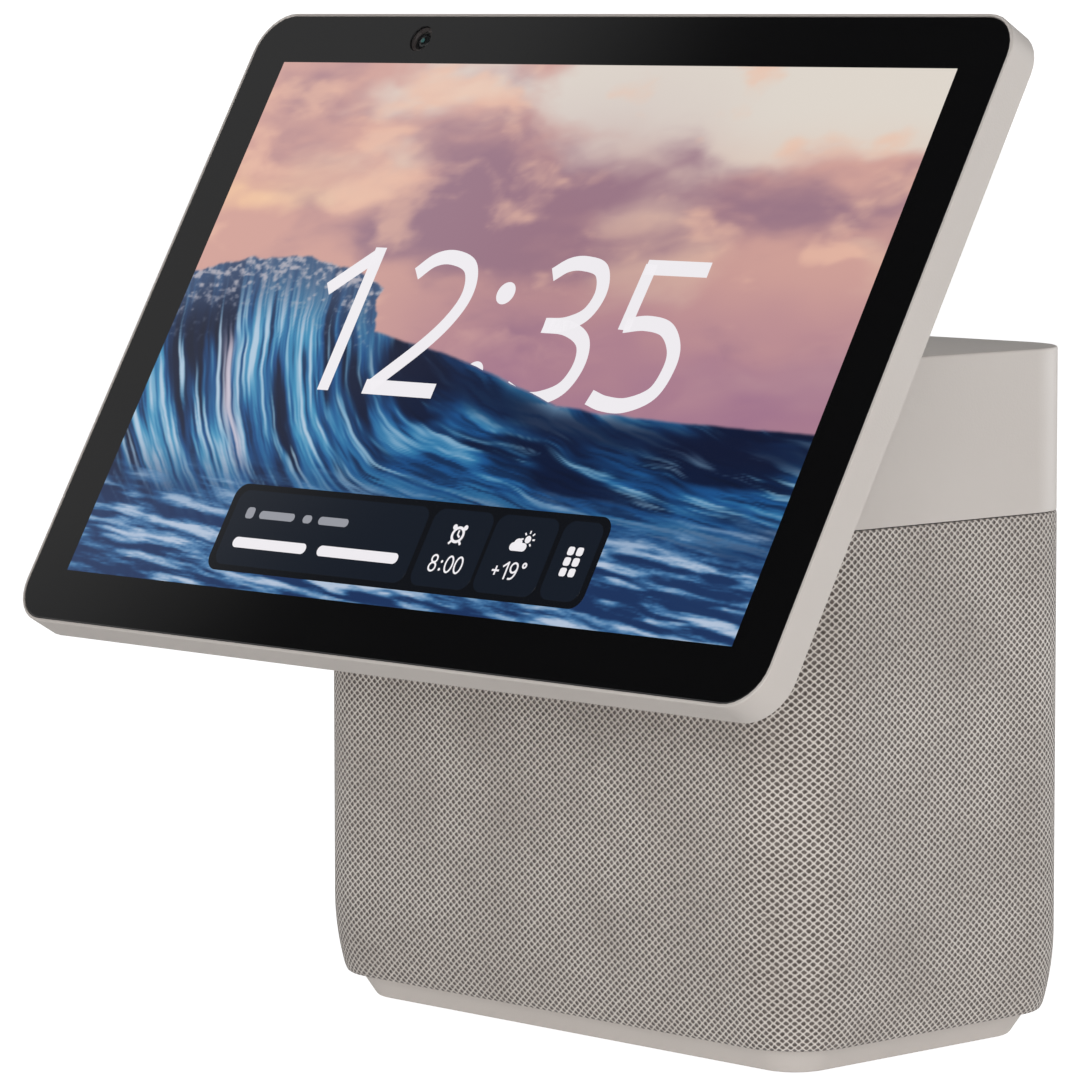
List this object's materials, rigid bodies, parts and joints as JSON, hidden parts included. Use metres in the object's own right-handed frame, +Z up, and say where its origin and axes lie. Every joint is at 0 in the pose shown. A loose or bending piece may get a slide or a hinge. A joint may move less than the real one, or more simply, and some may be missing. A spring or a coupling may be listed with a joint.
{
  "type": "smart display",
  "caption": "Touch screen leaning back on a friction hinge at the top front edge of a fabric-covered rounded speaker body, with top buttons and a camera shutter.",
  "frame": {"origin": "on the table surface, under the centre of the speaker body", "axes": "+X to the right seen from the front, +Y towards the back, +Z up; the screen faces -Y and leans back 30 degrees"},
  "size_m": [0.2432, 0.1505, 0.2318],
  "materials": {
    "shell_plastic": "fine-textured moulded plastic, light warm grey",
    "dark_plastic": "matt moulded plastic, charcoal",
    "knit_fabric": "knitted mesh of light threads over dark pores",
    "rubber": "matt black rubber",
    "paper_cone": "pressed paper pulp, black",
    "steel": "zinc-plated pressed steel",
    "aluminium": "satin aluminium",
    "ferrite": "sintered ferrite, dark grey",
    "circuit_board": "green solder mask",
    "black_glass": "polished cover glass printed black round the picture",
    "lcd_panel": "dark glossy panel",
    "diffuser": "white diffuser sheets"
  },
  "bodies": {
    "base": {"antenna_board": "circuit_board", "bracket_screw_1": "steel", "bracket_screw_2": "steel", "bracket_screw_3": "steel", "bracket_screw_4": "steel", "button_board": "circuit_board", "enclosure_lid": "dark_plastic", "fabric_sleeve": "knit_fabric", "foot_plate": "shell_plastic", "foot_screw_1": "steel", "foot_screw_2": "steel", "foot_screw_3": "steel", "foot_screw_4": "steel", "heat_sink": "aluminium", "hinge_bracket": "steel", "hinge_shaft": "steel", "left_driver_basket": "steel", "left_driver_cone": "paper_cone", "left_driver_magnet": "ferrite", "left_friction_washer": "steel", "left_shaft_nut": "steel", "left_tweeter": "aluminium", "main_board": "circuit_board", "port_plate": "shell_plastic", "power_inlet": "dark_plastic", "radiator_plate": "aluminium", "radiator_surround": "rubber", "right_driver_basket": "steel", "right_driver_cone": "paper_cone", "right_driver_magnet": "ferrite", "right_friction_washer": "steel", "right_shaft_nut": "steel", "right_tweeter": "aluminium", "rubber_sole": "rubber", "speaker_enclosure": "dark_plastic", "upper_shell": "shell_plastic", "woofer_basket": "steel", "woofer_cone": "paper_cone", "woofer_magnet": "ferrite", "woofer_surround": "rubber"},
    "display": {"display_frame": "shell_plastic", "display_rear_cover": "shell_plastic", "cover_glass": "black_glass", "lcd_panel": "lcd_panel", "backlight": "diffuser", "mid_plate": "steel", "display_board": "circuit_board", "camera_module": "dark_plastic", "camera_lens": "black_glass", "hinge_arm": "steel", "neck_shroud": "shell_plastic", "arm_screw_1": "steel", "arm_screw_2": "steel", "arm_screw_3": "steel", "arm_screw_4": "steel"},
    "shutter": {"camera_shutter": "dark_plastic"},
    "volume_down": {"volume_down_button": "shell_plastic"},
    "mute": {"mute_button": "shell_plastic"},
    "volume_up": {"volume_up_button": "shell_plastic"}
  },
  "joints": [
    {"name": "display_tilt", "type": "hinge", "parent": "base", "child": "display", "pos_m": [0, -0.04, 0.148], "axis": [1, 0, 0], "range_deg": [-15, 30]},
    {"name": "shutter_slide", "type": "slide", "parent": "display", "child": "shutter", "axis": [-1, 0, 0], "range_m": [0, 0.007]},
    {"name": "volume_down_press", "type": "slide", "parent": "base", "child": "volume_down", "axis": [0, 0, -1], "range_m": [0, 0.0008], "stiffness_N_per_m": 600, "springref_m": -0.0006},
    {"name": "mute_press", "type": "slide", "parent": "base", "child": "mute", "axis": [0, 0, -1], "range_m": [0, 0.0008], "stiffness_N_per_m": 600, "springref_m": -0.0006},
    {"name": "volume_up_press", "type": "slide", "parent": "base", "child": "volume_up", "axis": [0, 0, -1], "range_m": [0, 0.0008], "stiffness_N_per_m": 600, "springref_m": -0.0006}
  ]
}
